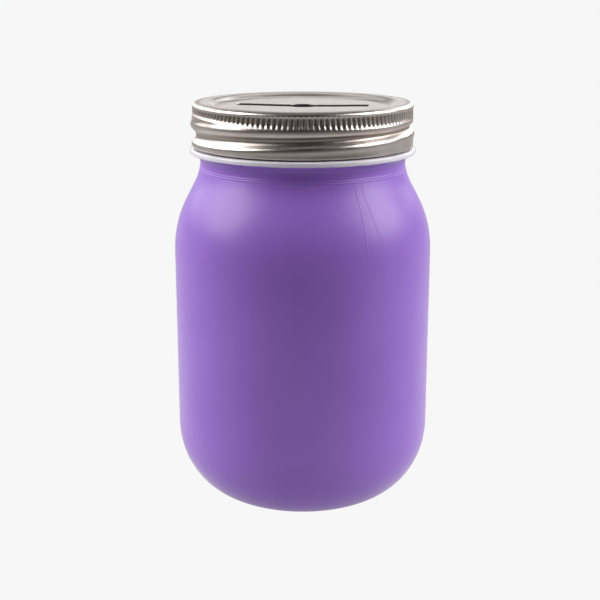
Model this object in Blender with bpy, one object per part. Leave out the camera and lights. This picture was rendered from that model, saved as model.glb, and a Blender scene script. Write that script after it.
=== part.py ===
"""A coin bank jar: a moulded glass jar, a pressed steel screw lid with a coin slot, and the lid's sealing ring.

Metres, +Z up. The jar stands on z = 0 with its axis on Z, and the coin slot runs along X. Each piece is a turned
shape, so every object's origin lies on the axis that the lid turns about.
"""

from math import cos, exp, pi, radians, sin, sqrt, tau

import bmesh
import bpy
from mathutils import Vector
from mathutils.geometry import interpolate_bezier

MM = 0.001

# The glass jar, from its base up.
PUSH_UP = 1.5 * MM
BEARING_INNER_RADIUS = 18 * MM
BEARING_OUTER_RADIUS = 23 * MM
BODY_RADIUS = 43.2 * MM
HEEL_HEIGHT = 24.9 * MM
SHOULDER_START = 85.2 * MM
SHOULDER_TOP_RADIUS = 34.8 * MM
SHOULDER_TOP = 111.5 * MM
SHOULDER_LOWER_PULL = 14.4 * MM
SHOULDER_UPPER_PULL = 6.5 * MM
SHOULDER_UPPER_LEAN = 16
NECK_RADIUS = 34.1 * MM
NECK_TOP = 114.9 * MM
BEAD_RADIUS = 37.5 * MM
BEAD_BOTTOM = 118.1 * MM
BEAD_TOP = 119.9 * MM
BEAD_EDGE_RADIUS = 0.7 * MM
FINISH_RADIUS = 34.1 * MM
RIM_HEIGHT = 133 * MM
RIM_EDGE_RADIUS = 1.2 * MM
MOUTH_RADIUS = 30 * MM
MOUTH_BOTTOM = 120 * MM
GLASS_WALL = 2.6 * MM
NECK_WALL = 3 * MM
GLASS_FLOOR = 5.5 * MM
JAR_SEGMENTS = 64

# The screw thread, which the jar and the lid share. One turn lifts the lid by one pitch.
PITCH = 6.35 * MM
JAR_THREAD_CREST = 35.5 * MM
JAR_THREAD_ROOT = 33.2 * MM
JAR_THREAD_HEIGHT = 2.6 * MM
JAR_THREAD_CREST_HEIGHT = 1.1 * MM
JAR_THREAD_ABOVE_GROOVE = 2.6 * MM
JAR_THREAD_START = -265
JAR_THREAD_TURN = 420
JAR_THREAD_TAPER = 35
JAR_THREAD_LEAST = 0.15
THREAD_STEP = 5

# The steel lid. Its groove is centred at GROOVE_HEIGHT where the azimuth is 0, at the front.
SHEET = 0.3 * MM
LID_TOP = 134.8 * MM
# The panel's depth below the rim at each radius: sunk at its foot, highest near the slot's ends.
PANEL_RINGS = (
    (0, 1.5 * MM),
    (10 * MM, 1.43 * MM),
    (16 * MM, 1.3 * MM),
    (21.5 * MM, 1.2 * MM),
    (25 * MM, 1.28 * MM),
    (28.4 * MM, 1.5 * MM),
)
FOOT_RADIUS = 29.3 * MM
FOOT_DEPTH = 1.3 * MM
RIM_INNER_RADIUS = 31.6 * MM
RIM_INNER_DEPTH = 0.15 * MM
RIM_CREST_RADIUS = 32.8 * MM
LID_RADIUS = 36.55 * MM
LID_EDGE_RADIUS = 1.5 * MM
LID_BOTTOM = 120.35 * MM
CURL_RADIUS = 0.42 * MM
CURL_TOP = LID_BOTTOM + 0.9 * CURL_RADIUS
BAND_BOTTOM = 130.2 * MM
SKIRT_ROWS = 13
GROOVE_HEIGHT = 125.65 * MM
GROOVE_DEPTH = 1.27 * MM
GROOVE_WIDE = 1.75 * MM
GROOVE_NARROW = 1.05 * MM
GROOVE_START = -204
GROOVE_END = 156
GROOVE_TAPER = 40
LOWER_BULGE = 0.38 * MM
UPPER_BULGE = 0.5 * MM
LOWER_BULGE_BELOW = 2.5 * MM
UPPER_BULGE_ABOVE = 3.4 * MM
BULGE_WIDTH = 1.35 * MM
# The groove widens, and the bulge above it swells, between these two azimuths.
WIDENING_FROM = 60
WIDENING_TO = -60
LID_SEGMENTS = 72

# The coin slot, with a round hole at its middle. Both are cut right through the panel.
SLOT_LENGTH = 43.5 * MM
SLOT_WIDTH = 6 * MM
SLOT_CORNER = 0.6 * MM
SLOT_CORNER_SEGMENTS = 3
HOLE_RADIUS = 5.2 * MM
HOLE_SEGMENTS = 32
CUTTER_HEIGHT = 6 * MM
CUTTER_CENTRE = LID_TOP - 1.5 * MM

# The sealing ring in the channel under the lid's rim.
SEAL_GAP = 0.3 * MM
SEAL_INNER_RADIUS = 31.4 * MM
SEAL_OUTER_RADIUS = 34.6 * MM
SEAL_CORNER = 0.2 * MM
SEAL_INNER_DROP = 0.3 * MM
SEAL_SEGMENTS = 64

MERGE = 0.00001
SHARP_ANGLE = radians(35)

# Colour, roughness and metallic value of each piece's material.
LACQUER = ((0.235, 0.105, 0.462, 1), 0.42, 0.0)
STEEL = ((0.62, 0.59, 0.57, 1), 0.32, 1.0)
COMPOUND = ((0.62, 0.60, 0.56, 1), 0.6, 0.0)


def point(radius, height):
    """A point of a profile, in the plane of X and Z."""
    return Vector((radius, 0, height))


def arc(centre, radius_across, radius_up, start, end, steps):
    """Points along an ellipse from start to end degrees, counted from straight out."""
    found = []
    for step in range(steps + 1):
        angle = radians(start + (end - start) * step / steps)
        found.append(centre + point(radius_across * cos(angle), radius_up * sin(angle)))
    return found


def shoulder(start_radius, end, pull_up, pull_down):
    """The curve from the upright body wall to the neck, leaning in where it ends."""
    start = point(start_radius, SHOULDER_START)
    lean = radians(SHOULDER_UPPER_LEAN)
    last_handle = end + point(pull_down * sin(lean), -pull_down * cos(lean))
    return interpolate_bezier(start, start + point(0, pull_up), last_handle, end, 9)


def jar_profile():
    """The jar's glass from the middle of its underside, up the outside, over the rim and down to the floor inside."""
    outside = [point(0, PUSH_UP), point(BEARING_INNER_RADIUS / 2, PUSH_UP * 0.75)]
    outside.append(point(BEARING_INNER_RADIUS, 0))
    heel_centre = point(BEARING_OUTER_RADIUS, HEEL_HEIGHT)
    outside += arc(heel_centre, BODY_RADIUS - BEARING_OUTER_RADIUS, HEEL_HEIGHT, -90, 0, 9)
    shoulder_end = point(SHOULDER_TOP_RADIUS, SHOULDER_TOP)
    outside += shoulder(BODY_RADIUS, shoulder_end, SHOULDER_LOWER_PULL, SHOULDER_UPPER_PULL)
    outside.append(point(NECK_RADIUS, NECK_TOP))
    edge = BEAD_EDGE_RADIUS
    outside += arc(point(BEAD_RADIUS - edge, BEAD_BOTTOM + edge), edge, edge, -50, 0, 2)
    outside += arc(point(BEAD_RADIUS - edge, BEAD_TOP - edge), edge, edge, 0, 90, 3)
    outside.append(point(FINISH_RADIUS, BEAD_TOP))
    rim = RIM_EDGE_RADIUS
    outside += arc(point(FINISH_RADIUS - rim, RIM_HEIGHT - rim), rim, rim, 0, 90, 3)
    inside = arc(point(MOUTH_RADIUS + rim, RIM_HEIGHT - rim), rim, rim, 90, 180, 3)
    inside.append(point(MOUTH_RADIUS, MOUTH_BOTTOM))
    inner_end = point(SHOULDER_TOP_RADIUS - NECK_WALL, SHOULDER_TOP)
    curve = shoulder(BODY_RADIUS - GLASS_WALL, inner_end, SHOULDER_LOWER_PULL, SHOULDER_UPPER_PULL)
    inside += reversed(curve)
    floor_centre = point(BEARING_OUTER_RADIUS - GLASS_WALL, HEEL_HEIGHT)
    inner_reach = BODY_RADIUS - BEARING_OUTER_RADIUS
    inside += arc(floor_centre, inner_reach, HEEL_HEIGHT - GLASS_FLOOR, 0, -90, 7)
    inside.append(point(0, GLASS_FLOOR))
    return outside + inside


def lid_profile():
    """The lid's steel from the middle of its panel, out and down to the curl, and back up the inside."""
    edge = LID_EDGE_RADIUS
    top = [point(radius, LID_TOP - depth) for radius, depth in PANEL_RINGS]
    top.append(point(FOOT_RADIUS, LID_TOP - FOOT_DEPTH))
    top += [point(RIM_INNER_RADIUS, LID_TOP - RIM_INNER_DEPTH), point(RIM_CREST_RADIUS, LID_TOP)]
    outside = list(top)
    outside += arc(point(LID_RADIUS - edge, LID_TOP - edge), edge, edge, 90, 0, 4)
    row_height = (BAND_BOTTOM - LID_BOTTOM - CURL_RADIUS) / SKIRT_ROWS
    rows = [BAND_BOTTOM - row_height * row for row in range(SKIRT_ROWS + 1)]
    outside += [point(LID_RADIUS, height) for height in rows]
    outside += arc(point(LID_RADIUS - CURL_RADIUS, rows[-1]), CURL_RADIUS, CURL_RADIUS, -45, -180, 3)
    inner_radius = LID_RADIUS - SHEET
    inside = [point(inner_radius, height) for height in reversed(rows[:-1])]
    inner_edge = edge - SHEET
    inside += arc(point(LID_RADIUS - edge, LID_TOP - edge), inner_edge, inner_edge, 0, 90, 3)
    inside += [corner - point(0, SHEET) for corner in reversed(top)]
    return outside + inside


def turned(profile, segments, closed=False):
    """A bmesh made by spinning a profile round Z. A closed profile is a ring's section; an open one ends on Z."""
    bm = bmesh.new()
    verts = [bm.verts.new(corner) for corner in profile]
    edges = [bm.edges.new(pair) for pair in zip(verts, verts[1:])]
    if closed:
        edges.append(bm.edges.new((verts[-1], verts[0])))
    bmesh.ops.spin(
        bm, geom=verts + edges, cent=(0, 0, 0), axis=(0, 0, 1), angle=tau, steps=segments, use_merge=True
    )
    bmesh.ops.remove_doubles(bm, verts=bm.verts, dist=MERGE)
    bmesh.ops.recalc_face_normals(bm, faces=bm.faces)
    return bm


def finished(name, bm, look):
    """An object that holds the bmesh, smooth but for its real edges, with its own material."""
    mesh = bpy.data.meshes.new(name)
    bm.to_mesh(mesh)
    bm.free()
    mesh.shade_smooth()
    mesh.set_sharp_from_angle(angle=SHARP_ANGLE)
    made = bpy.data.objects.new(name, mesh)
    bpy.context.scene.collection.objects.link(made)
    material = bpy.data.materials.new(name)
    material.use_nodes = True
    surface = material.node_tree.nodes["Principled BSDF"]
    surface.inputs["Base Color"].default_value = look[0]
    surface.inputs["Roughness"].default_value = look[1]
    surface.inputs["Metallic"].default_value = look[2]
    mesh.materials.append(material)
    return made


def helper(name, bm):
    """A hidden object that only shapes another one through a Boolean."""
    mesh = bpy.data.meshes.new(name)
    bm.to_mesh(mesh)
    bm.free()
    made = bpy.data.objects.new(name, mesh)
    bpy.context.scene.collection.objects.link(made)
    made.hide_render = True
    made.display_type = "WIRE"
    return made


def combine(target, tool, operation):
    boolean = target.modifiers.new(tool.name, "BOOLEAN")
    boolean.operation = operation
    boolean.object = tool
    boolean.solver = "EXACT"


def taper(along, length, run):
    """0 at both ends of a thread, rising smoothly to 1 over a run from each end."""
    share = min(along / run, (length - along) / run, 1)
    return max(share, 0) ** 2 * (3 - 2 * max(share, 0))


def groove_height(azimuth):
    """The height of the groove's centre at an azimuth in degrees, counted from the front towards +X."""
    return GROOVE_HEIGHT + PITCH * azimuth / 360


def skirt_shift(azimuth, height):
    """How far rolling the groove has moved the skirt outwards at one place, or inwards where it is negative."""
    moved = 0
    for turn in (-360, 0, 360):
        wound = azimuth + turn
        strength = taper(wound - GROOVE_START, GROOVE_END - GROOVE_START, GROOVE_TAPER)
        swell = min(max((wound - WIDENING_FROM) / (WIDENING_TO - WIDENING_FROM), 0), 1)
        half_width = GROOVE_NARROW + (GROOVE_WIDE - GROOVE_NARROW) * swell
        above = height - groove_height(wound)
        groove = GROOVE_DEPTH * exp(-(abs(above / half_width) ** 2.5))
        lower = LOWER_BULGE * exp(-(((above + LOWER_BULGE_BELOW) / BULGE_WIDTH) ** 2))
        upper = UPPER_BULGE * swell * exp(-(((above - UPPER_BULGE_ABOVE) / BULGE_WIDTH) ** 2))
        moved += strength * (lower + upper - groove)
    return moved


def make_jar_thread():
    """The raised thread: a straight bar with a trapezoid section, wound onto the jar's finish."""
    half_root = JAR_THREAD_HEIGHT / 2
    half_crest = JAR_THREAD_CREST_HEIGHT / 2
    section = [
        (0, JAR_THREAD_ROOT, -half_root),
        (0, JAR_THREAD_CREST, -half_crest),
        (0, JAR_THREAD_CREST, half_crest),
        (0, JAR_THREAD_ROOT, half_root),
    ]
    steps = JAR_THREAD_TURN // THREAD_STEP
    bm = bmesh.new()
    verts = [bm.verts.new(corner) for corner in section]
    edges = [bm.edges.new(pair) for pair in zip(verts, verts[1:] + verts[:1])]
    bmesh.ops.spin(
        bm, geom=verts + edges, cent=(0, 0, 0), axis=(1, 0, 0), dvec=(1, 0, 0), angle=0, steps=steps
    )
    bmesh.ops.holes_fill(bm, edges=bm.edges, sides=len(section))
    for vert in bm.verts:
        along, radius, above = vert.co
        azimuth = JAR_THREAD_START + along * THREAD_STEP
        strength = max(taper(along * THREAD_STEP, JAR_THREAD_TURN, JAR_THREAD_TAPER), JAR_THREAD_LEAST)
        radius = JAR_THREAD_ROOT + (radius - JAR_THREAD_ROOT) * strength
        height = groove_height(azimuth) + JAR_THREAD_ABOVE_GROOVE + above
        angle = radians(azimuth)
        vert.co = (radius * sin(angle), -radius * cos(angle), height)
    bmesh.ops.recalc_face_normals(bm, faces=bm.faces)
    return helper("jar_thread_shape", bm)


def make_jar():
    jar = finished("glass_jar", turned(jar_profile(), JAR_SEGMENTS), LACQUER)
    combine(jar, make_jar_thread(), "UNION")


def make_slot_cutter():
    """A long box with rounded upright corners."""
    bm = bmesh.new()
    bmesh.ops.create_cube(bm, size=1)
    bmesh.ops.scale(bm, verts=bm.verts, vec=(SLOT_LENGTH, SLOT_WIDTH, CUTTER_HEIGHT))
    upright = [edge for edge in bm.edges if abs(edge.verts[0].co.z - edge.verts[1].co.z) > CUTTER_HEIGHT / 2]
    bmesh.ops.bevel(
        bm, geom=upright, offset=SLOT_CORNER, segments=SLOT_CORNER_SEGMENTS, profile=0.5, affect="EDGES"
    )
    bmesh.ops.translate(bm, verts=bm.verts, vec=(0, 0, CUTTER_CENTRE))
    return helper("coin_slot_shape", bm)


def make_hole_cutter():
    bm = bmesh.new()
    bmesh.ops.create_cone(
        bm, cap_ends=True, segments=HOLE_SEGMENTS, radius1=HOLE_RADIUS, radius2=HOLE_RADIUS,
        depth=CUTTER_HEIGHT,
    )
    bmesh.ops.translate(bm, verts=bm.verts, vec=(0, 0, CUTTER_CENTRE))
    return helper("centre_hole_shape", bm)


def make_lid():
    """The turned cap, with the groove rolled into its skirt and the coin slot cut through its panel."""
    bm = turned(lid_profile(), LID_SEGMENTS)
    for vert in bm.verts:
        x, y, height = vert.co
        radius = sqrt(x * x + y * y)
        if height > BAND_BOTTOM or radius < MOUTH_RADIUS or height < CURL_TOP:
            continue
        azimuth = Vector((0, -1)).angle_signed(Vector((x, y)), 0) * -180 / pi
        rolled = (radius + skirt_shift(azimuth, height)) / radius
        vert.co.x *= rolled
        vert.co.y *= rolled
    lid = finished("screw_lid", bm, STEEL)
    combine(lid, make_slot_cutter(), "DIFFERENCE")
    combine(lid, make_hole_cutter(), "DIFFERENCE")


def make_seal():
    """The ring of compound, clear of the glass rim below it and of the steel above."""
    low = RIM_HEIGHT + SEAL_GAP
    high = LID_TOP - SHEET - SEAL_GAP
    section = [
        point(SEAL_INNER_RADIUS, low),
        point(SEAL_OUTER_RADIUS, low),
        point(SEAL_OUTER_RADIUS, high - SEAL_CORNER),
        point(SEAL_OUTER_RADIUS - SEAL_CORNER, high),
        point(RIM_CREST_RADIUS, high),
        point(SEAL_INNER_RADIUS, high - SEAL_INNER_DROP),
    ]
    finished("lid_gasket", turned(section, SEAL_SEGMENTS, closed=True), COMPOUND)


def main():
    for leftover in list(bpy.data.objects):
        bpy.data.objects.remove(leftover)
    make_jar()
    make_lid()
    make_seal()


main()
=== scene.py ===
# %% [markdown]
# # A coin bank jar
# A glass jar is sprayed with satin purple lacquer and closed with a pressed steel screw lid. The lid has
# a slot for coins, with a round hole at its middle. The scene has three pieces: the jar, the lid and the
# soft ring of sealing compound inside the lid. Each one is turned about the Z axis, then given the
# details that turning can't make: the screw thread, the knurled band, the rolled groove and the slot.

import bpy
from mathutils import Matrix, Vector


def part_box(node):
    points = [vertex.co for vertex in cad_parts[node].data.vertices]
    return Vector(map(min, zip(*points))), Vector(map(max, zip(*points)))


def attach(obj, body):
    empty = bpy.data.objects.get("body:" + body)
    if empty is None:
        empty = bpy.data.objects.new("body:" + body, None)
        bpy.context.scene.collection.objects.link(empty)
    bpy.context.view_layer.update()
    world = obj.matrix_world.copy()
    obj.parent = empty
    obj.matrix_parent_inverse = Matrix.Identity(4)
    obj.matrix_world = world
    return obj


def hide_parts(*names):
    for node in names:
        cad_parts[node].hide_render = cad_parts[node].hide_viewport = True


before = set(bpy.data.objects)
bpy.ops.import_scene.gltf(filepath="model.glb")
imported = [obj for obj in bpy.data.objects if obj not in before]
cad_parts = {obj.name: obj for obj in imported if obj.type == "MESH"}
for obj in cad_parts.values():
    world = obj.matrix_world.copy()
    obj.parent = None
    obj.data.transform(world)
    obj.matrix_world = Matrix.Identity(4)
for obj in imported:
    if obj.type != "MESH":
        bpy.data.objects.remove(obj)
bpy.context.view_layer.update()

# %% [markdown]
# The frame holds the engineering model of the jar, and its boxes say where each piece begins and ends.
# Blender works in metres, and `MM` keeps the sizes readable in millimetres.

# %% Sizes taken from the frame
from math import atan2, cos, degrees, exp, hypot, radians, sin, tau

import bmesh
import bpy
from mathutils import Matrix, Vector
from mathutils.geometry import interpolate_bezier

MM = 0.001
BODY_RADIUS = 43.2 * MM
RIM_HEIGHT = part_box("glass_jar")[1].z
LID_BOTTOM, LID_TOP = (corner.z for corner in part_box("screw_lid"))
SEAL_BOTTOM, SEAL_TOP = (corner.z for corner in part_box("lid_gasket"))
print("jar to", round(RIM_HEIGHT / MM, 2), "mm")
print("lid from", round(LID_BOTTOM / MM, 2), "to", round(LID_TOP / MM, 2), "mm")

# %% [markdown]
# A turned shape starts as a profile: a line of points in the plane of X and Z. Straight runs, arcs and
# Bezier curves are enough to draw every profile here, and each helper returns a list of points that can
# be joined to the next one.

# %% Helpers for profiles


def at(radius, height):
    return Vector((radius, 0, height))


def spot(radius, height):
    """A profile point given in millimetres."""
    return at(radius * MM, height * MM)


def arc(centre, reach, start, end, steps):
    """Points on a circle, or on an ellipse where reach is (across, up). Angles count from straight out."""
    across, up = reach if isinstance(reach, tuple) else (reach, reach)
    turns = [radians(start + (end - start) * step / steps) for step in range(steps + 1)]
    return [centre + at(across * cos(turn), up * sin(turn)) for turn in turns]


def straight(start, end, steps):
    """Evenly spaced points after start, up to and including end."""
    return [start.lerp(end, step / steps) for step in range(1, steps + 1)]


def sweep(start, handle, other_handle, end, steps):
    """A Bezier curve's points after start, up to and including end."""
    return interpolate_bezier(start, handle, other_handle, end, steps + 1)[1:]


# %% [markdown]
# `bmesh.ops.spin` sweeps a profile round the axis. The spin gets slow when it has hundreds of steps, so
# only an eighth of the turn is spun, and three rounds of copying and turning complete the circle. A Screw
# modifier would also work, but the thread and the knurls are pressed into real vertices later, so a bmesh
# is the better start.

# %% Helpers for turning
MERGE_GAP = 0.001 * MM


def turn_profile(profile, segments, closed=False):
    bm = bmesh.new()
    verts = [bm.verts.new(corner) for corner in profile]
    edges = [bm.edges.new(pair) for pair in zip(verts, verts[1:])]
    if closed:
        edges.append(bm.edges.new((verts[-1], verts[0])))
    wedge = tau / 8
    bmesh.ops.spin(
        bm, geom=verts + edges, cent=(0, 0, 0), axis=(0, 0, 1), angle=wedge, steps=segments // 8
    )
    for share in (1, 2, 4):
        copied = bmesh.ops.duplicate(bm, geom=bm.verts[:] + bm.edges[:] + bm.faces[:])["geom"]
        moved = [part for part in copied if isinstance(part, bmesh.types.BMVert)]
        bmesh.ops.rotate(bm, verts=moved, cent=(0, 0, 0), matrix=Matrix.Rotation(wedge * share, 3, "Z"))
        bmesh.ops.remove_doubles(bm, verts=bm.verts, dist=MERGE_GAP)
    bmesh.ops.recalc_face_normals(bm, faces=bm.faces)
    return bm


def as_object(name, bm):
    mesh = bpy.data.meshes.new(name)
    bm.to_mesh(mesh)
    bm.free()
    mesh.shade_smooth()
    made = bpy.data.objects.new(name, mesh)
    bpy.context.scene.collection.objects.link(made)
    print(name, "has", len(mesh.polygons), "faces")
    return made


# %% [markdown]
# Details are pressed into a turned wall by moving its vertices towards the axis or away from it. How far
# they move depends on their height and on their azimuth, the angle round the jar.

# %% Helpers for pressed details


def azimuth_of(place):
    """Degrees round the jar, counted from the front towards +X."""
    return degrees(atan2(place.x, -place.y))


def push_out(vert, distance):
    """Moves a vertex away from the Z axis, or towards it where the distance is negative."""
    radius = hypot(vert.co.x, vert.co.y)
    vert.co.x *= (radius + distance) / radius
    vert.co.y *= (radius + distance) / radius


def ease(share):
    """0 up to 0, 1 from 1, and smooth between them."""
    share = max(min(share, 1), 0)
    return share * share * (3 - 2 * share)


def taper(along, length, run):
    """1 along most of a length, falling softly to 0 over the run at each end."""
    return ease(min(along, length - along) / run)


# %% [markdown]
# The screw groove of the lid and the glass thread follow the same helix: one turn climbs 6.35 mm. A
# thread of more than one turn passes the same side of the jar twice, so `winding` looks at the turns
# below and above too.

# %% The shared helix
PITCH = 6.35 * MM
GROOVE_HEIGHT = 125.65 * MM


def winding(azimuth, start, turn, run):
    """Each pass of a helix over this side of the jar, as (centre height, strength, its own azimuth)."""
    for wound in (azimuth - 360, azimuth, azimuth + 360):
        strength = taper(wound - start, turn, run)
        if strength > 0:
            yield GROOVE_HEIGHT + PITCH * wound / 360, strength, wound


print("one turn of the thread climbs", PITCH / MM, "mm")

# %% [markdown]
# ## The glass jar
# A pressed and blown jar has a slightly pushed-up base, a round heel, an upright wall, a shoulder that
# rolls into a short neck, and above it the finish: the bead, the screw thread and the rounded rim. The
# outer line runs from the middle of the underside up to the top of the rim.

# %% Outer line of the jar
PUSH_UP = 1.5 * MM
HEEL_CENTRE = 23 * MM
HEEL_HEIGHT = 24.9 * MM
SHOULDER_START = 85.2 * MM
SHOULDER_END = spot(34.8, 111.5)
SHOULDER_LEAN = radians(16)
SHOULDER_PULL = 14.4 * MM
NECK_PULL = 6.5 * MM
BEAD_RADIUS = 37.5 * MM
BEAD_BOTTOM = 118.1 * MM
BEAD_TOP = 119.9 * MM
BEAD_ROUNDING = 0.7 * MM
FINISH_RADIUS = 34.1 * MM
RIM_ROUNDING = 1.4 * MM


def shoulder_curve(wall, end, steps):
    foot = at(wall, SHOULDER_START)
    handle = end + at(NECK_PULL * sin(SHOULDER_LEAN), -NECK_PULL * cos(SHOULDER_LEAN))
    return sweep(foot, foot + at(0, SHOULDER_PULL), handle, end, steps)


def outer_line():
    line = [at(0, PUSH_UP)]
    line += sweep(line[-1], spot(9, 1.5), spot(14, 0.9), spot(17.6, 0.15), 6)
    line += sweep(line[-1], spot(18, 0), spot(18.4, 0), spot(19.4, 0), 3)
    line += arc(at(HEEL_CENTRE, HEEL_HEIGHT), (BODY_RADIUS - HEEL_CENTRE, HEEL_HEIGHT), -90, 0, 30)
    line += straight(line[-1], at(BODY_RADIUS, SHOULDER_START), 14)
    line += shoulder_curve(BODY_RADIUS, SHOULDER_END, 30)
    line += sweep(line[-1], spot(34.4, 112.9), spot(34.1, 113.8), spot(34.1, 114.9), 5)
    line += sweep(line[-1], spot(34.1, 116.9), spot(35.3, 118), at(36.8 * MM, BEAD_BOTTOM), 10)
    bead = BEAD_RADIUS - BEAD_ROUNDING
    line += arc(at(bead, BEAD_BOTTOM + BEAD_ROUNDING), BEAD_ROUNDING, -75, 0, 5)
    line += arc(at(bead, BEAD_TOP - BEAD_ROUNDING), BEAD_ROUNDING, 0, 90, 6)
    finish_foot = at(FINISH_RADIUS, 120.5 * MM)
    line += sweep(line[-1], at(35 * MM, BEAD_TOP), at(34.2 * MM, BEAD_TOP), finish_foot, 4)
    line += straight(line[-1], at(FINISH_RADIUS, RIM_HEIGHT - RIM_ROUNDING), 36)
    return line + arc(line[-1] - at(RIM_ROUNDING, 0), RIM_ROUNDING, 0, 90, 8)[1:]


print("outer line:", len(outer_line()), "points")

# %% [markdown]
# The inner line comes back down from the rim to the middle of the floor inside. With both lines the wall
# has a true thickness and nothing is left open. A Solidify modifier could add the wall too, but it would
# give the floor, the shoulder and the neck one thickness, which real glass doesn't have.

# %% Inner line of the jar
MOUTH_RADIUS = 30 * MM
MOUTH_FOOT = 120 * MM
GLASS_WALL = 2.6 * MM
NECK_WALL = 3 * MM
GLASS_FLOOR = 5.5 * MM


def inner_line():
    line = arc(at(MOUTH_RADIUS + RIM_ROUNDING, RIM_HEIGHT - RIM_ROUNDING), RIM_ROUNDING, 90, 180, 8)
    line += straight(line[-1], at(MOUTH_RADIUS, MOUTH_FOOT), 5)
    neck = SHOULDER_END - at(NECK_WALL, 0)
    line += sweep(line[-1], at(MOUTH_RADIUS, 116 * MM), neck + spot(-0.6, 3), neck, 6)
    line += list(reversed(shoulder_curve(BODY_RADIUS - GLASS_WALL, neck, 22)))[1:]
    line += straight(line[-1], at(BODY_RADIUS - GLASS_WALL, HEEL_HEIGHT), 6)
    reach = (BODY_RADIUS - HEEL_CENTRE, HEEL_HEIGHT - GLASS_FLOOR)
    line += arc(at(HEEL_CENTRE - GLASS_WALL, HEEL_HEIGHT), reach, 0, -90, 18)[1:]
    return line + straight(line[-1], at(0, GLASS_FLOOR), 5)


print("inner line:", len(inner_line()), "points")

# %% [markdown]
# The thread on the finish is raised glass with soft flanks. It could be a second body joined with a
# Boolean, but moulded glass flows into its thread, so the turned wall itself is pushed outwards along the
# helix.

# %% Jar mesh with its thread
JAR_SEGMENTS = 256
THREAD_START, THREAD_TURN, THREAD_RUN = -265, 420, 35
THREAD_ABOVE_GROOVE = 2.6 * MM
THREAD_RISE = 1.4 * MM
THREAD_HALF_HEIGHT = 1.15 * MM
THREAD_FLANK = 0.75 * MM


def thread_rise(place):
    rise = 0
    for centre, strength, _ in winding(azimuth_of(place), THREAD_START, THREAD_TURN, THREAD_RUN):
        off = abs(place.z - centre - THREAD_ABOVE_GROOVE)
        rise = max(rise, THREAD_RISE * strength * ease((THREAD_HALF_HEIGHT - off) / THREAD_FLANK))
    return rise


def make_jar():
    bm = turn_profile(outer_line() + inner_line(), JAR_SEGMENTS)
    for vert in bm.verts:
        on_finish = hypot(vert.co.x, vert.co.y) > FINISH_RADIUS - 0.3 * MM
        if on_finish and BEAD_TOP < vert.co.z < RIM_HEIGHT - 0.4 * MM:
            push_out(vert, thread_rise(vert.co))
    return as_object("jar_glass", bm)


jar = make_jar()

# %% [markdown]
# ## The screw lid
# The lid is pressed from 0.3 mm tinned steel. Its top panel is sunk inside a rounded rim, its skirt
# carries a band of knurls for the fingers, the rolled groove that rides on the thread, and a curled lower
# edge. The section is one closed loop, so the sheet has an inside and an outside.

# %% Lid profile
LID_RADIUS = 36.55 * MM
SHEET = 0.3 * MM
EDGE_ROUNDING = 1.5 * MM
CURL = 0.42 * MM
CREST_RADIUS = 32.4 * MM
OUTSIDE_ROWS, INSIDE_ROWS = 44, 22
# The panel's depth below the rim at each radius, in millimetres: sunk at its foot, higher at the slot's ends.
PANEL_DEPTHS = ((0, 1.5), (10, 1.43), (16, 1.3), (21.5, 1.2), (25, 1.28), (28.4, 1.5))
PANEL_CROWN, PANEL_FOOT = 21.5, 28.4
PANEL_STEPS = (4, 8, 12, 16, 19, 21.5, 23, 24.5, 26, 27.2, PANEL_FOOT)


def dish(radius):
    """The height of the panel, which is crowned in a ring and sags a little towards its middle."""
    reach = min(radius / MM, PANEL_FOOT)
    for (near, near_depth), (far, far_depth) in zip(PANEL_DEPTHS, PANEL_DEPTHS[1:]):
        if reach <= far:
            share = (reach - near) / (far - near)
            share = ease(share) if near >= PANEL_CROWN else share
            return LID_TOP - (near_depth + (far_depth - near_depth) * share) * MM


def lid_face(drop, skirt, rounding, rows):
    """One face of the sheet, from near the middle of the panel to the foot of the skirt."""
    line = [at(radius * MM, dish(radius * MM) - drop) for radius in PANEL_STEPS]
    crest = at(CREST_RADIUS, LID_TOP - drop)
    line += sweep(line[-1], line[-1] + spot(1.3, 0), crest - spot(1.7, 0), crest, rows // 5)
    line += arc(at(LID_RADIUS - EDGE_ROUNDING, LID_TOP - EDGE_ROUNDING), rounding, 90, 0, rows // 5)
    return line + straight(line[-1], at(skirt, LID_BOTTOM + CURL), rows)


def lid_profile():
    outside = lid_face(0, LID_RADIUS, EDGE_ROUNDING, OUTSIDE_ROWS)
    inside = lid_face(SHEET, LID_RADIUS - SHEET, EDGE_ROUNDING - SHEET, INSIDE_ROWS)
    curl = arc(at(LID_RADIUS - CURL, LID_BOTTOM + CURL), CURL, -25, -200, 7)
    return outside + curl + list(reversed(inside[:-1]))


print("lid section:", len(lid_profile()), "points")

# %% [markdown]
# The groove isn't even all the way round: it widens from the right to the left, where the steel above it
# bulges out and a thin crease runs along its lower wall. Every one of these is a bell curve of the height
# above the groove, so the whole rolled shape is one sum.

# %% How far rolling has moved the skirt
GROOVE_START, GROOVE_TURN, GROOVE_RUN = -204, 360, 40
WIDENS_FROM, WIDENS_OVER = 60, 120
GROOVE_DEPTH, GROOVE_WIDTH, GROOVE_WIDENING = 1.27, 1.05, 0.7
# Each swelling of the steel: its size, its height above the groove and its width, all in millimetres.
LOWER_BULGE = (0.38, -2.5, 1.35)
UPPER_BULGE = (0.6, 3.4, 1.35)
CREASE = (0.07, -1.45, 0.38)


def hump(above, shape):
    size, height, width = shape
    return size * exp(-(((above - height) / width) ** 2))


def groove_shift(azimuth, height):
    moved = 0
    for centre, strength, wound in winding(azimuth, GROOVE_START, GROOVE_TURN, GROOVE_RUN):
        swell = min(max((WIDENS_FROM - wound) / WIDENS_OVER, 0), 1)
        above = (height - centre) / MM
        groove = GROOVE_DEPTH * exp(-(abs(above / (GROOVE_WIDTH + GROOVE_WIDENING * swell)) ** 2.5))
        on_left = swell * (hump(above, UPPER_BULGE) - hump(above, CREASE))
        moved += strength * (hump(above, LOWER_BULGE) + on_left - groove) * MM
    return moved


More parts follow.
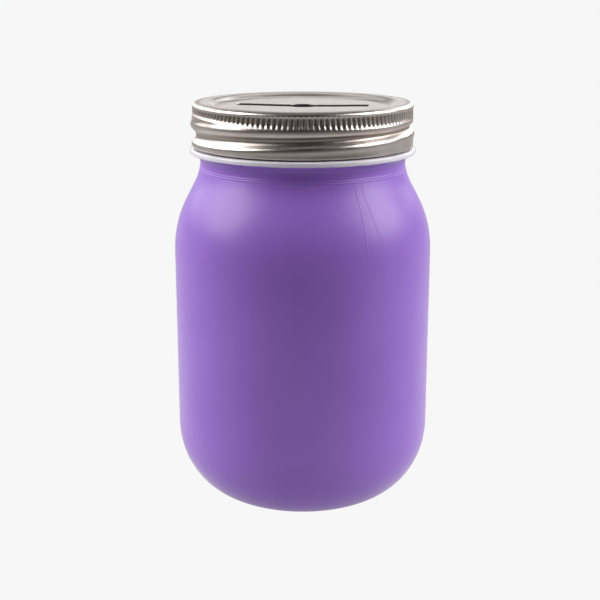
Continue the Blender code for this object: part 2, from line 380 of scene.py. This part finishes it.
print("at the front the groove moves the skirt by", round(groove_shift(0, GROOVE_HEIGHT) / MM, 2), "mm")

# %% [markdown]
# Each knurl is a shallow scoop with an arched top and foot, and a narrow rib is left between two of them.
# The whole band is rolled in a little first, and it ends higher up on the left, where it meets the bulge.
# An Array of scoops cut with Booleans would be slow, and a function of azimuth and height gives the same
# shape at once.

# %% How far the knurls are pressed in
KNURLS = 132
KNURL_TOP = 133.65 * MM
KNURL_FOOT = 129.45 * MM
KNURL_DEPTH = 0.42 * MM
RIB_DEPTH = 0.16 * MM
SCOOP_HALF_WIDTH = 0.42
BAND_EASE = 0.3 * MM
LIFTED_AZIMUTH, LIFTED_SPREAD, LIFT = -77, 75, 1.5 * MM


def knurl_shift(azimuth, height):
    low = KNURL_FOOT + LIFT * max(1 - ((azimuth - LIFTED_AZIMUTH) / LIFTED_SPREAD) ** 2, 0)
    up = (height - low) / (KNURL_TOP - low)
    across = (azimuth * KNURLS / 360) % 1
    scoop = 1 - abs((across - 0.5) / SCOOP_HALF_WIDTH) ** 2 - abs(2 * up - 1) ** 4
    sunk = RIB_DEPTH * taper(height - low + BAND_EASE, KNURL_TOP - low + BAND_EASE, 2 * BAND_EASE)
    return -KNURL_DEPTH * max(scoop, 0) * (0.8 + 0.3 * up) - sunk


print("knurl width", round(tau * LID_RADIUS / KNURLS / MM, 2), "mm")

# %% [markdown]
# The lid is turned with six steps for each knurl, so that every rib falls on its own line of vertices.
# Both faces of the sheet move together, because a knurl pressed into thin steel shows on the inside too.

# %% Lid mesh
STEPS_PER_KNURL = 6
SKIRT_STARTS = 33.6 * MM


def make_lid():
    bm = turn_profile(lid_profile(), KNURLS * STEPS_PER_KNURL, closed=True)
    for vert in bm.verts:
        height, azimuth = vert.co.z, azimuth_of(vert.co)
        if hypot(vert.co.x, vert.co.y) < SKIRT_STARTS or height < LID_BOTTOM + CURL:
            continue
        rolled = groove_shift(azimuth, height) if height < LID_TOP - EDGE_ROUNDING else 0
        push_out(vert, rolled + knurl_shift(azimuth, height))
    return as_object("lid_steel_cap", bm)


lid = make_lid()

# %% [markdown]
# The slot and the round hole are punched through the panel. A Boolean with a plain box would leave knife
# edges, so each punch is a little wider at the face of the sheet, which leaves the small rolled edge a
# real press leaves. The punches are bent with the dish of the panel, so that the rolled edge keeps one
# width.

# %% Shape the punches
SLOT_LENGTH = 43.5 * MM
SLOT_WIDTH = 6 * MM
SLOT_CORNER = 0.6 * MM
HOLE_RADIUS = 5.2 * MM
# Each level of a punch: its height above the panel, and how far it is wider all round, in millimetres.
PUNCH_STEPS = ((-2, 0), (-0.1, 0), (-0.04, 0.01), (0.01, 0.05), (1.5, 0.05))


def slot_outline():
    bm = bmesh.new()
    bmesh.ops.create_grid(bm, x_segments=28, y_segments=2, size=0.5)
    bmesh.ops.scale(bm, verts=bm.verts, vec=(SLOT_LENGTH, SLOT_WIDTH, 1))
    corners = [vert for vert in bm.verts if len(vert.link_edges) == 2]
    bmesh.ops.bevel(
        bm, geom=corners, offset=SLOT_CORNER, segments=4, profile=0.5, affect="VERTICES", material=-1
    )
    return bm


def hole_outline():
    bm = bmesh.new()
    bmesh.ops.create_circle(bm, cap_ends=True, radius=HOLE_RADIUS, segments=64)
    return bm


def raise_punch(name, bm, size):
    """Raises a flat outline of a size (along X, along Y) into a punch, one level after another."""
    faces = list(bm.faces)
    verts = list(bm.verts)
    before = 0
    for step, (level, flare) in enumerate(PUNCH_STEPS):
        if step:
            grown = bmesh.ops.extrude_face_region(bm, geom=faces)["geom"]
            verts = [part for part in grown if isinstance(part, bmesh.types.BMVert)]
            if step > 1:
                bmesh.ops.delete(bm, geom=faces, context="FACES")
            faces = [part for part in grown if isinstance(part, bmesh.types.BMFace)]
        for vert in verts:
            for axis in (0, 1):
                vert.co[axis] *= (size[axis] + 2 * flare * MM) / (size[axis] + 2 * before * MM)
            vert.co.z = level * MM
        before = flare
    bmesh.ops.recalc_face_normals(bm, faces=bm.faces)
    for vert in bm.verts:
        vert.co.z += dish(hypot(vert.co.x, vert.co.y))
    return as_object(name, bm)


punches = [
    raise_punch("slot_punch", slot_outline(), (SLOT_LENGTH, SLOT_WIDTH)),
    raise_punch("hole_punch", hole_outline(), (2 * HOLE_RADIUS, 2 * HOLE_RADIUS)),
]

# %% [markdown]
# A Boolean modifier set to Difference removes each punch from the lid. The result is read back from the
# dependency graph as a plain mesh, so that the punches can be thrown away and the cut can be cleaned up.

# %% Punch the coin slot


def punch_lid():
    for tool in punches:
        cut = lid.modifiers.new(tool.name, "BOOLEAN")
        cut.operation = "DIFFERENCE"
        cut.solver = "EXACT"
        cut.object = tool
    graph = bpy.context.evaluated_depsgraph_get()
    punched = bpy.data.meshes.new_from_object(lid.evaluated_get(graph))
    lid.modifiers.clear()
    lid.data = punched
    for tool in punches:
        bpy.data.objects.remove(tool)
    print(lid.name, "has", len(punched.polygons), "faces after its cuts")


punch_lid()

# %% [markdown]
# A face beside the slot is nearly flat and its edge is not, so plain smooth shading would bleed the
# edge's tilt into the panel. The folds close to the slot are marked sharp, and the rest of the lid stays
# smooth.

# %% Clean the slot's shading
NEAR_SLOT = 24.5 * MM
SHARP_FOLD = radians(18)


def sharpen_slot(piece):
    bm = bmesh.new()
    bm.from_mesh(piece.data)
    bmesh.ops.remove_doubles(bm, verts=bm.verts, dist=MERGE_GAP)
    marked = 0
    for edge in bm.edges:
        near = max(hypot(vert.co.x, vert.co.y) for vert in edge.verts) < NEAR_SLOT
        if near and len(edge.link_faces) == 2 and edge.calc_face_angle() > SHARP_FOLD:
            edge.smooth = False
            marked += 1
    bmesh.ops.triangulate(bm, faces=[face for face in bm.faces if len(face.verts) > 4])
    bm.to_mesh(piece.data)
    bm.free()
    piece.data.shade_smooth()
    print("sharp edges:", marked)


sharpen_slot(lid)

# %% [markdown]
# ## The sealing ring
# Inside the rim of the lid lies a ring of soft compound, which is poured in as a liquid and bakes to
# rubber. A liquid ring creeps up both walls of its channel, so its face sags between them.

# %% Seal mesh
SEAL_INNER, SEAL_OUTER = 31.4 * MM, 34.6 * MM
SEAL_SHOULDER = 32.8 * MM
SEAL_SAG = 0.12 * MM
SEAL_CHAMFER = 0.25 * MM


def make_seal():
    low, middle = SEAL_BOTTOM, (SEAL_INNER + SEAL_OUTER) / 2
    section = [at(SEAL_INNER, SEAL_TOP - SEAL_CHAMFER), at(SEAL_INNER, low + 0.1 * MM)]
    inner_edge = [at(SEAL_INNER + past * MM, low) for past in (0, 0.3, 0.5)]
    section += sweep(section[-1], *inner_edge, 4)
    sagging = [at(middle + side * MM, low + SEAL_SAG) for side in (-0.6, 0.6)]
    section += sweep(section[-1], *sagging, at(SEAL_OUTER - 0.5 * MM, low), 8)
    outer_edge = [at(SEAL_OUTER - 0.2 * MM, low), at(SEAL_OUTER, low), at(SEAL_OUTER, low + 0.15 * MM)]
    section += sweep(section[-1], *outer_edge, 4)
    section += [at(SEAL_OUTER, SEAL_TOP - SEAL_CHAMFER), at(SEAL_OUTER - SEAL_CHAMFER, SEAL_TOP)]
    section.append(at(SEAL_SHOULDER, SEAL_TOP))
    return as_object("lid_seal", turn_profile(section, 192, closed=True))


seal = make_seal()

# %% [markdown]
# ## Finishes
# Each finish is a Principled shader with its detail made from noise and from the piece's own Object
# coordinates, which are metres on the piece. Image textures would need a file and a UV map. These small
# helpers keep the node code short.

# %% Node helpers for numbers and colours


def new_tree(name):
    material = bpy.data.materials.new(name)
    material.use_nodes = True
    tree = material.node_tree
    return material, tree, tree.nodes["Principled BSDF"]


def feed(tree, socket, value):
    """Links a socket to another socket, or sets its number or colour."""
    if isinstance(value, bpy.types.NodeSocket):
        tree.links.new(value, socket)
    else:
        socket.default_value = value


def calc(tree, operation, *values):
    node = tree.nodes.new("ShaderNodeMath")
    node.operation = operation
    for socket, value in zip(node.inputs, values):
        feed(tree, socket, value)
    return node.outputs[0]


def plus(tree, first, second):
    return calc(tree, "ADD", first, second)


def minus(tree, first, second):
    return calc(tree, "SUBTRACT", first, second)


def times(tree, first, second):
    return calc(tree, "MULTIPLY", first, second)


def ramp(tree, value, low, high, start=0.0, end=1.0):
    """Start at or below low, end at or above high, and smooth between them."""
    node = tree.nodes.new("ShaderNodeMapRange")
    node.interpolation_type = "SMOOTHSTEP"
    for socket, given in zip(node.inputs, (value, low, high, start, end)):
        feed(tree, socket, given)
    return node.outputs[0]


def ridge(tree, off, width):
    """A soft ridge: 1 where off is 0, falling away over width."""
    share = calc(tree, "DIVIDE", off, width)
    return calc(tree, "EXPONENT", times(tree, times(tree, share, share), -1.0))


def mix_colour(tree, share, first, second):
    node = tree.nodes.new("ShaderNodeMix")
    node.data_type = "RGBA"
    for socket, value in zip((node.inputs[0], node.inputs[6], node.inputs[7]), (share, first, second)):
        feed(tree, socket, value)
    return node.outputs[2]


# %% [markdown]
# The next helpers say where a point lies on the piece, and turn noise into patches and fine bumps.
# Azimuth and distance from the axis suit a turned piece better than x and y do.

# %% Node helpers for places and texture


def place_of(tree):
    """Object coordinates, as the whole vector and as x, y and z."""
    coordinates = tree.nodes.new("ShaderNodeTexCoord").outputs["Object"]
    split = tree.nodes.new("ShaderNodeSeparateXYZ")
    tree.links.new(coordinates, split.inputs[0])
    return coordinates, *split.outputs


def distance_from_axis(tree, x, y):
    return calc(tree, "SQRT", plus(tree, times(tree, x, x), times(tree, y, y)))


def azimuth_nodes(tree, x, y):
    """Radians round the jar, counted from the front towards +X."""
    return calc(tree, "ARCTAN2", x, times(tree, y, -1.0))


def noise(tree, coordinates, scale, detail, roughness=0.5, stretch=None):
    if stretch:
        mapping = tree.nodes.new("ShaderNodeMapping")
        mapping.inputs["Scale"].default_value = stretch
        tree.links.new(coordinates, mapping.inputs["Vector"])
        coordinates = mapping.outputs[0]
    node = tree.nodes.new("ShaderNodeTexNoise")
    node.inputs["Scale"].default_value = scale
    node.inputs["Detail"].default_value = detail
    node.inputs["Roughness"].default_value = roughness
    tree.links.new(coordinates, node.inputs["Vector"])
    return node.outputs[0]


def bump(tree, height, distance, strength, under=None):
    node = tree.nodes.new("ShaderNodeBump")
    node.inputs["Distance"].default_value = distance
    node.inputs["Strength"].default_value = strength
    tree.links.new(height, node.inputs["Height"])
    if under is not None:
        tree.links.new(under, node.inputs["Normal"])
    return node.outputs[0]


def dress(piece, *materials):
    """Gives a piece its materials, in the order of the faces' material indices."""
    piece.data.materials.clear()
    for material in materials:
        piece.data.materials.append(material)
        print(piece.name, "wears", material.name, "with", len(material.node_tree.nodes), "nodes")


# %% [markdown]
# The halves of the glass mould leave a seam down each side, and the neck ring leaves a pair of fine
# lines. They are only hundredths of a millimetre high, so they are bumps that follow height and azimuth.
# The front seam leans under the neck, and a shorter line beside it fades out above the middle of the jar.

# %% Mould lines
RING_FROM, RING_TO = radians(-58), radians(36)
RING_LEFT_HEIGHT, RING_RIGHT_HEIGHT = 113.65 * MM, 113.35 * MM
RING_WIDTH = 0.2 * MM
RING_GAP = 0.65 * MM
SEAM_WIDTH = 0.16 * MM
SEAM_BELOW_NECK, SEAM_ON_BODY = radians(38.5), radians(43.5)
SHORT_SEAM, BACK_SEAM = radians(34.5), radians(-136.5)


def mould_lines(tree, x, y, z):
    azimuth = azimuth_nodes(tree, x, y)
    off = minus(tree, z, ramp(tree, azimuth, RING_FROM, RING_TO, RING_LEFT_HEIGHT, RING_RIGHT_HEIGHT))
    lower = ridge(tree, plus(tree, off, RING_GAP), RING_WIDTH)
    lines = plus(tree, ridge(tree, off, RING_WIDTH), lower)
    below_neck = ramp(tree, z, 111.5 * MM, 113.2 * MM, 1.0, 0.0)
    long_span = times(tree, ramp(tree, z, 78 * MM, 104 * MM, 0.1, 0.7), below_neck)
    short_span = times(tree, ramp(tree, z, 78 * MM, 98 * MM), below_neck)
    front_seam = ramp(tree, z, 86 * MM, 112 * MM, SEAM_ON_BODY, SEAM_BELOW_NECK)
    for turn, span in ((front_seam, long_span), (SHORT_SEAM, short_span), (BACK_SEAM, long_span)):
        off = times(tree, minus(tree, azimuth, turn), BODY_RADIUS)
        lines = plus(tree, lines, times(tree, ridge(tree, off, SEAM_WIDTH), span))
    return lines


# %% [markdown]
# The lacquer is sprayed on the outside and stops at the foot of the bead, at a slightly uneven edge. It
# is one colour with a slow, faint cloud in it. It is satin: light spreads into soft highlights, a little
# sheen pales the edges, and a fine grain shows up close. Bare glass above it is smoother. True glass
# shading would be slower and would show little through so narrow a band, so the bare glass is pale and
# opaque.

# %% Lacquer and bare glass
LACQUER_DEEP = (0.318, 0.142, 0.635, 1)
LACQUER_PALE = (0.342, 0.157, 0.67, 1)
BARE_GLASS = (0.80, 0.77, 0.84, 1)
GLASS_IOR = 1.5
LACQUER_EDGE = 118.25 * MM
EDGE_WANDER = 0.5 * MM
BARE_IS_SMOOTHER = -0.26


def make_lacquered_glass():
    material, tree, surface = new_tree("lacquered_glass")
    place, x, y, z = place_of(tree)
    colour = mix_colour(tree, ramp(tree, noise(tree, place, 32, 3), 0.3, 0.7), LACQUER_DEEP, LACQUER_PALE)
    wander = times(tree, minus(tree, noise(tree, place, 260, 3), 0.5), EDGE_WANDER)
    over_edge = minus(tree, plus(tree, z, wander), LACQUER_EDGE)
    bare = ramp(tree, over_edge, -0.06 * MM, 0.12 * MM)
    feed(tree, surface.inputs["Base Color"], mix_colour(tree, bare, colour, BARE_GLASS))
    patch = ramp(tree, noise(tree, place, 90, 4), 0.25, 0.75, 0.36, 0.42)
    feed(tree, surface.inputs["Roughness"], plus(tree, times(tree, bare, BARE_IS_SMOOTHER), patch))
    grain = times(tree, noise(tree, place, 2600, 3, 0.6), ramp(tree, bare, 0, 1, 1.0, 0.15))
    fine = bump(tree, grain, 0.03 * MM, 0.5)
    broad = bump(tree, noise(tree, place, 55, 1), 0.12 * MM, 0.5, fine)
    feed(tree, surface.inputs["Normal"], bump(tree, mould_lines(tree, x, y, z), 0.09 * MM, 0.9, broad))
    surface.inputs["IOR"].default_value = GLASS_IOR
    surface.inputs["Sheen Weight"].default_value = 0.48
    surface.inputs["Sheen Roughness"].default_value = 0.35
    surface.inputs["Sheen Tint"].default_value = (1, 0.97, 1, 1)
    return material


lacquered_glass = make_lacquered_glass()
print("lacquer ends", round((LACQUER_EDGE - BEAD_BOTTOM) / MM, 2), "mm above the bead's foot")

# %% [markdown]
# From inside, the same lacquer is seen through glossy glass: it is darker and it mirrors more. The faces
# of the inner line take this second material, and the mouth stays bare down to the bead.

# %% Inside of the jar
DEEP_INSIDE = (0.10, 0.03, 0.25, 1)
PALE_INSIDE = (0.13, 0.045, 0.30, 1)
NECK_FROM = 112 * MM
INSIDE_NECK = 32.5 * MM
INSIDE_BODY = BODY_RADIUS - 1.3 * MM


def make_inner_glass():
    material, tree, surface = new_tree("inner_glass")
    place, _, _, z = place_of(tree)
    purple = mix_colour(tree, ramp(tree, noise(tree, place, 40, 2), 0.3, 0.7), DEEP_INSIDE, PALE_INSIDE)
    bare = ramp(tree, z, 118.2 * MM, MOUTH_FOOT)
    feed(tree, surface.inputs["Base Color"], mix_colour(tree, bare, purple, BARE_GLASS))
    feed(tree, surface.inputs["Normal"], bump(tree, noise(tree, place, 60, 1), 0.2 * MM, 0.5))
    surface.inputs["Roughness"].default_value = 0.1
    surface.inputs["IOR"].default_value = GLASS_IOR
    return material


def is_inside(face):
    """True where a face of the jar belongs to its inner wall or its floor."""
    centre, normal = face.center, face.normal
    if centre.z > HEEL_HEIGHT:
        looks_in = centre.x * normal.x + centre.y * normal.y < -1e-9
    else:
        looks_in = normal.z > 0
    limit = INSIDE_NECK if centre.z > NECK_FROM else INSIDE_BODY
    between = PUSH_UP + 0.1 * MM < centre.z < RIM_HEIGHT - 1.5 * MM
    return looks_in and between and hypot(centre.x, centre.y) < limit


dress(jar, lacquered_glass, make_inner_glass())
inside = [face for face in jar.data.polygons if is_inside(face)]
for face in inside:
    face.material_index = 1
print("inside faces:", len(inside))

# %% [markdown]
# The steel is tinned and satin. Its colour and roughness drift a little, and the rolling left a fine grain.
# The grooves and scoops are darkened with painted shade, a dark brown mixed into them, and are made a
# little rougher, so the ribs look brighter between them. The distance from the axis tells the shader how
# deep a place lies, so this needs no painted map.

# %% Lid steel
STEEL_DULL = (0.55, 0.485, 0.45, 1)
STEEL_CLEAN = (0.61, 0.555, 0.52, 1)
# A dark brown: painted shade for the grooves and the knurl scoops.
RECESS_SHADE = (0.19, 0.15, 0.125, 1)
RECESS_SHADE_SHARE = 0.45
SCOOP_SHADE_WEIGHT = 1.8


def make_lid_steel():
    material, tree, surface = new_tree("lid_steel")
    place, x, y, z = place_of(tree)
    radius = distance_from_axis(tree, x, y)
    on_skirt = ramp(tree, radius, 33.5 * MM, 34.6 * MM)
    # Painted shade: the deeper skirt and the knurl scoops are mixed towards the dark brown and made a little
    # rougher.
    recess = times(tree, ramp(tree, radius, 35.2 * MM, 36.5 * MM, 1.0, 0.0), on_skirt)
    above_foot = ramp(tree, z, 129.4 * MM, 130.2 * MM)
    in_band = times(tree, above_foot, ramp(tree, z, 133.6 * MM, 134.2 * MM, 1.0, 0.0))
    scooped = times(tree, ramp(tree, radius, 35.95 * MM, 36.3 * MM, 1.0, 0.0), in_band)
    scooped = times(tree, scooped, times(tree, on_skirt, SCOOP_SHADE_WEIGHT))
    recess = calc(tree, "MAXIMUM", recess, scooped)
    metal = mix_colour(tree, ramp(tree, noise(tree, place, 140, 4), 0.3, 0.7), STEEL_DULL, STEEL_CLEAN)
    colour = mix_colour(tree, times(tree, recess, RECESS_SHADE_SHARE), metal, RECESS_SHADE)
    feed(tree, surface.inputs["Base Color"], colour)
    worn = ramp(tree, noise(tree, place, 420, 3), 0.3, 0.7, 0.28, 0.33)
    feed(tree, surface.inputs["Roughness"], plus(tree, worn, times(tree, recess, 0.08)))
    grain = noise(tree, place, 2600, 2, 0.5, (0.1, 1.5, 1.0))
    feed(tree, surface.inputs["Normal"], bump(tree, grain, 0.0007 * MM, 0.4))
    surface.inputs["Metallic"].default_value = 1.0
    return material


dress(lid, make_lid_steel())

# %% [markdown]
# The sealing compound is soft and matt, with a faint skin texture and small specks. One noise gives both
# the colour and the roughness, so that a speck is darker and duller at once.

# %% Sealing compound
COMPOUND_PALE = (0.64, 0.61, 0.56, 1)
COMPOUND_SPECK = (0.52, 0.49, 0.44, 1)


def make_compound():
    material, tree, surface = new_tree("sealing_compound")
    place = place_of(tree)[0]
    specks = noise(tree, place, 900, 3)
    colour = mix_colour(tree, ramp(tree, specks, 0.35, 0.75), COMPOUND_PALE, COMPOUND_SPECK)
    feed(tree, surface.inputs["Base Color"], colour)
    feed(tree, surface.inputs["Roughness"], ramp(tree, specks, 0.3, 0.7, 0.5, 0.62))
    feed(tree, surface.inputs["Normal"], bump(tree, noise(tree, place, 300, 3), 0.05 * MM, 0.5))
    return material


dress(seal, make_compound())

# %% [markdown]
# ## Motion
# A piece rides on a body of the frame. The lid and its ring lift along the thread, and only the lid
# turns.

# %% Ride and replace
for piece, body, node, slot in (
    (jar, "jar", "glass_jar", "lacquered_glass"),
    (lid, "lid", "screw_lid", "lid_steel"),
    (seal, "lid_carrier", "lid_gasket", "sealing_compound"),
):
    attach(piece, body)
    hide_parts(node)
    print(piece.name, "rides on", body)

# %% [markdown]
# ## Floor, light and camera
# The floor is plain and pale, and so is the world round it. The camera sees both as one even light grey.
# The jar and lid see a floor that is bright behind them and dim in front, as it is when the lamps stand
# beside and behind. A Light Path node tells the camera's rays from all the others.

# %% Helpers for the surroundings
PALE = 0.93


def split_by_camera(tree, seen, unseen, output):
    """Shows the camera one shader and every other ray another."""
    path = tree.nodes.new("ShaderNodeLightPath")
    chooser = tree.nodes.new("ShaderNodeMixShader")
    tree.links.new(path.outputs["Is Camera Ray"], chooser.inputs[0])
    tree.links.new(unseen, chooser.inputs[1])
    tree.links.new(seen, chooser.inputs[2])
    tree.links.new(chooser.outputs[0], output)


def glow(tree, kind, level):
    node = tree.nodes.new(kind)
    node.inputs["Color"].default_value = (level, level, level, 1)
    return node.outputs[0]


# %% [markdown]
# The floor's light comes from emission, so it needs no lamps of its own. It brightens from the front to
# the back, is strongest within 20 cm of the jar, and is a little shaded right under the jar.

# %% Floor and surroundings
FLOOR_HALF_SIZE = 30
FRONT_LEVEL, BACK_LEVEL = 0.14, 0.55
NEARBY_BOOST = 1.7
CONTACT_SHADE = 0.75
SURROUNDINGS = 0.02


def make_floor():
    bm = bmesh.new()
    bmesh.ops.create_grid(bm, x_segments=1, y_segments=1, size=FLOOR_HALF_SIZE)
    floor = as_object("studio_floor", bm)
    material, tree, surface = new_tree("pale_floor")
    _, x, y, _ = place_of(tree)
    radius = distance_from_axis(tree, x, y)
    boost = ramp(tree, radius, 0.2, 0.35, NEARBY_BOOST, 1.0)
    shade = ramp(tree, radius, 0.035, 0.09, CONTACT_SHADE, 1.0)
    level = ramp(tree, y, -0.4, 0.15, FRONT_LEVEL, BACK_LEVEL)
    unseen = tree.nodes.new("ShaderNodeEmission")
    feed(tree, unseen.inputs["Strength"], times(tree, level, times(tree, boost, shade)))
    output = tree.nodes["Material Output"].inputs["Surface"]
    split_by_camera(tree, glow(tree, "ShaderNodeEmission", PALE), unseen.outputs[0], output)
    tree.nodes.remove(surface)
    floor.data.materials.append(material)


def make_world():
    world = bpy.data.worlds.new("studio")
    bpy.context.scene.world = world
    world.use_nodes = True
    tree = world.node_tree
    tree.nodes.clear()
    output = tree.nodes.new("ShaderNodeOutputWorld").inputs["Surface"]
    seen = glow(tree, "ShaderNodeBackground", PALE)
    split_by_camera(tree, seen, glow(tree, "ShaderNodeBackground", SURROUNDINGS), output)


make_floor()
make_world()

# %% [markdown]
# Large softboxes stand beside the jar and behind it, and a low strip behind the jar whitens the sunk
# panel of the lid. They draw the bright sides of the jar, while the front stays deep in colour. A softbox
# is an area light: the larger it is, the softer its edge in the lacquer and the dimmer its mirror image
# in the steel.

# %% Lights
CAMERA_AZIMUTH = 6.5
LIGHT_DISTANCE = 1.0
LIGHT_TARGET = Vector((0, 0, 0.08))


def softbox(name, azimuth, elevation, size, watts):
    data = bpy.data.lights.new(name, "AREA")
    data.shape = "RECTANGLE"
    data.size, data.size_y = size
    data.energy = watts
    light = bpy.data.objects.new(name, data)
    bpy.context.scene.collection.objects.link(light)
    side, rise = radians(CAMERA_AZIMUTH + azimuth), radians(elevation)
    back = Vector((sin(side) * cos(rise), -cos(side) * cos(rise), sin(rise)))
    light.location = LIGHT_TARGET + back * LIGHT_DISTANCE
    light.rotation_euler = back.to_track_quat("Z", "Y").to_euler()
    light.visible_camera = False
    print(name, "at", [round(value, 2) for value in light.location])


# Each softbox: its azimuth from the camera and its elevation in degrees, its size in metres and its watts.
for softbox_row in (
    ("left_softbox", -86, 34, (0.74, 0.68), 9.4),
    ("right_softbox", 86, 32, (0.74, 0.68), 9.4),
    ("rear_left_softbox", -138, 24, (0.8, 0.5), 3.6),
    ("rear_right_softbox", 146, 24, (0.7, 0.5), 3.2),
    ("front_left_fill", -56, 40, (0.5, 0.45), 0.3),
    ("front_right_fill", 58, 38, (0.5, 0.45), 0.35),
    ("top_panel", 0, 82, (0.5, 0.3), 0.25),
    ("rear_high_panel", 180, 46, (0.5, 0.45), 0.8),
    ("rear_low_strip", 180, 13, (0.9, 0.22), 0.85),
):
    softbox(*softbox_row)

# %% [markdown]
# The camera stands about 40 cm away, a little above the lid, and looks 15 degrees down. A long lens keeps
# the jar's walls nearly parallel. The Standard view transform keeps the plain colours of the floor and
# lacquer.

# %% Camera
CAMERA_DISTANCE = 395.7 * MM
CAMERA_HEIGHT = 173.3 * MM
CAMERA_LEFT = 0.9 * MM
CAMERA_PITCH = radians(15.06)
CAMERA_LENS = 71.32


def make_camera():
    data = bpy.data.cameras.new("camera")
    data.sensor_width = 36
    data.lens = CAMERA_LENS
    data.clip_start, data.clip_end = 0.01, 200
    camera = bpy.data.objects.new("camera", data)
    bpy.context.scene.collection.objects.link(camera)
    side = radians(CAMERA_AZIMUTH)
    away = Vector((sin(side), -cos(side), 0))
    right = Vector((cos(side), sin(side), 0))
    camera.location = away * CAMERA_DISTANCE - right * CAMERA_LEFT + Vector((0, 0, CAMERA_HEIGHT))
    back = away * cos(CAMERA_PITCH) + Vector((0, 0, sin(CAMERA_PITCH)))
    camera.rotation_euler = back.to_track_quat("Z", "Y").to_euler()
    bpy.context.scene.camera = camera
    print("camera at", [round(value, 3) for value in camera.location])


make_camera()
bpy.context.scene.view_settings.view_transform = "Standard"
bpy.context.scene.view_settings.look = "None"
